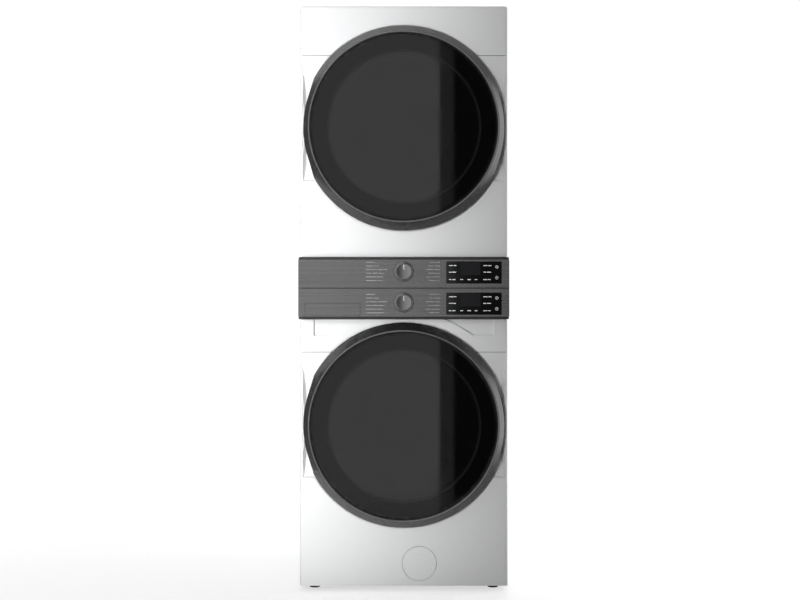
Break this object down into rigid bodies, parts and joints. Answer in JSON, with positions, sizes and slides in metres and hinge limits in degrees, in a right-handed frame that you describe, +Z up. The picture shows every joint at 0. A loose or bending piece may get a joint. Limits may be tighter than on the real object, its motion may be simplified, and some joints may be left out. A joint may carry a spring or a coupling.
{
  "type": "washer dryer stack",
  "caption": "Stacked front-loading washer and dryer with round smoked glass doors, a dark control console between them and a white enamel cabinet.",
  "frame": {"origin": "on the floor under the middle of the whole stack", "axes": "+Z up, the front faces -Y, +X to the right seen from the front"},
  "size_m": [0.688, 0.8, 1.927],
  "materials": {
    "white_enamel": "gloss, baked enamel on steel",
    "charcoal_metal": "satin, fine horizontal brushing",
    "door_rim": "satin dark metallic paint",
    "tinted_glass": "polished, smoke tint",
    "clear_glass": "polished pressed glass",
    "black_glass": "polished",
    "satin_metal": "satin, spun",
    "black_plastic": "fine texture",
    "grey_plastic": "moulded polypropylene",
    "white_plastic": "moulded",
    "grey_rubber": "satin",
    "black_rubber": "matt",
    "stainless": "brushed stainless",
    "zinc_steel": "zinc coated",
    "cast_metal": "as cast",
    "concrete": "cast concrete"
  },
  "bodies": {
    "stack": {"blower_housing": "grey_plastic", "console": "charcoal_metal", "counterweight": "concrete", "dispenser_housing": "grey_plastic", "display_glasses": "black_glass", "door_gasket": "grey_rubber", "drain_hose": "grey_rubber", "drain_pump": "grey_plastic", "dryer_belt": "black_rubber", "dryer_cabinet": "white_enamel", "dryer_front_panel": "white_enamel", "dryer_motor": "zinc_steel", "dryer_rear_panel": "zinc_steel", "exhaust_duct": "zinc_steel", "front_bulkhead": "grey_plastic", "heater_housing": "zinc_steel", "hinge_brackets": "cast_metal", "inlet_valves": "white_plastic", "panel_screws": "zinc_steel", "rear_bulkhead": "zinc_steel", "rear_feet": "black_plastic", "stacking_deck": "zinc_steel", "suspension_dampers": "zinc_steel", "suspension_springs": "zinc_steel", "tub_front": "grey_plastic", "tub_rear": "grey_plastic", "washer_base": "zinc_steel", "washer_belt": "black_rubber", "washer_cabinet": "white_enamel", "washer_front_panel": "white_enamel", "washer_motor": "zinc_steel", "washer_rear_cover": "zinc_steel"},
    "washer_door": {"washer_door_ring": "door_rim", "washer_door_glass": "tinted_glass", "washer_door_bowl": "clear_glass", "washer_door_liner": "black_plastic", "washer_hinge_leaf": "cast_metal"},
    "dryer_door": {"dryer_door_ring": "door_rim", "dryer_door_glass": "tinted_glass", "dryer_door_window": "clear_glass", "dryer_door_liner": "black_plastic", "dryer_hinge_leaf": "cast_metal"},
    "washer_drum_unit": {"washer_drum": "stainless", "washer_baffles": "white_plastic", "drum_spider": "cast_metal", "drum_pulley": "cast_metal"},
    "washer_motor_rotor": {"washer_motor_pulley": "cast_metal"},
    "dryer_drum_unit": {"dryer_drum": "stainless", "dryer_baffles": "white_plastic"},
    "dryer_motor_rotor": {"dryer_motor_shaft": "zinc_steel", "blower_wheel": "grey_plastic"},
    "washer_dial": {"washer_knob": "satin_metal"},
    "dryer_dial": {"dryer_knob": "satin_metal"},
    "detergent_drawer": {"dispenser_drawer": "white_plastic", "drawer_front": "charcoal_metal"},
    "lint_filter": {"lint_screen": "grey_plastic"},
    "service_cover": {"pump_cover": "white_enamel"},
    "filter_plug": {"pump_filter": "black_plastic"},
    "left_foot": {"front_left_foot": "black_plastic"},
    "right_foot": {"front_right_foot": "black_plastic"}
  },
  "joints": [
    {"name": "washer_door_hinge", "type": "hinge", "parent": "stack", "child": "washer_door", "pos_m": [-0.304, -0.344, 0.545], "axis": [0, 0, -1], "range_deg": [0, 110]},
    {"name": "dryer_door_hinge", "type": "hinge", "parent": "stack", "child": "dryer_door", "pos_m": [-0.304, -0.344, 1.523], "axis": [0, 0, -1], "range_deg": [0, 110]},
    {"name": "washer_drum_spin", "type": "hinge", "parent": "stack", "child": "washer_drum_unit", "pos_m": [0, 0, 0.545], "axis": [0, 1, 0], "continuous": true},
    {"name": "washer_motor_spin", "type": "hinge", "parent": "stack", "child": "washer_motor_rotor", "pos_m": [0.09, 0.3, 0.152], "axis": [0, 1, 0], "continuous": true},
    {"name": "dryer_drum_spin", "type": "hinge", "parent": "stack", "child": "dryer_drum_unit", "pos_m": [0, 0, 1.523], "axis": [0, 1, 0], "continuous": true},
    {"name": "dryer_motor_spin", "type": "hinge", "parent": "stack", "child": "dryer_motor_rotor", "pos_m": [0.15, 0, 1.092], "axis": [0, 1, 0], "continuous": true},
    {"name": "washer_dial_turn", "type": "hinge", "parent": "stack", "child": "washer_dial", "pos_m": [0, -0.38, 0.948], "axis": [0, -1, 0], "continuous": true},
    {"name": "dryer_dial_turn", "type": "hinge", "parent": "stack", "child": "dryer_dial", "pos_m": [0, -0.38, 1.049], "axis": [0, -1, 0], "continuous": true},
    {"name": "drawer_slide", "type": "slide", "parent": "stack", "child": "detergent_drawer", "axis": [0, -1, 0], "range_m": [0, 0.19]},
    {"name": "lint_filter_slide", "type": "slide", "parent": "stack", "child": "lint_filter", "axis": [0, 0, 1], "range_m": [0, 0.16]},
    {"name": "service_cover_hinge", "type": "hinge", "parent": "stack", "child": "service_cover", "pos_m": [0.051, -0.328, 0.037], "axis": [1, 0, 0], "range_deg": [0, 95]},
    {"name": "filter_plug_turn", "type": "hinge", "parent": "stack", "child": "filter_plug", "pos_m": [0.051, -0.25, 0.088], "axis": [0, -1, 0], "range_deg": [0, 360]},
    {"name": "left_foot_turn", "type": "hinge", "parent": "stack", "child": "left_foot", "pos_m": [-0.297, -0.268, 0.02], "axis": [0, 0, 1], "continuous": true},
    {"name": "right_foot_turn", "type": "hinge", "parent": "stack", "child": "right_foot", "pos_m": [0.297, -0.268, 0.02], "axis": [0, 0, 1], "continuous": true}
  ],
  "couplings": [
    {"joint": "washer_motor_spin", "follows": "washer_drum_spin", "ratio": 10},
    {"joint": "dryer_motor_spin", "follows": "dryer_drum_spin", "ratio": 26.333}
  ]
}
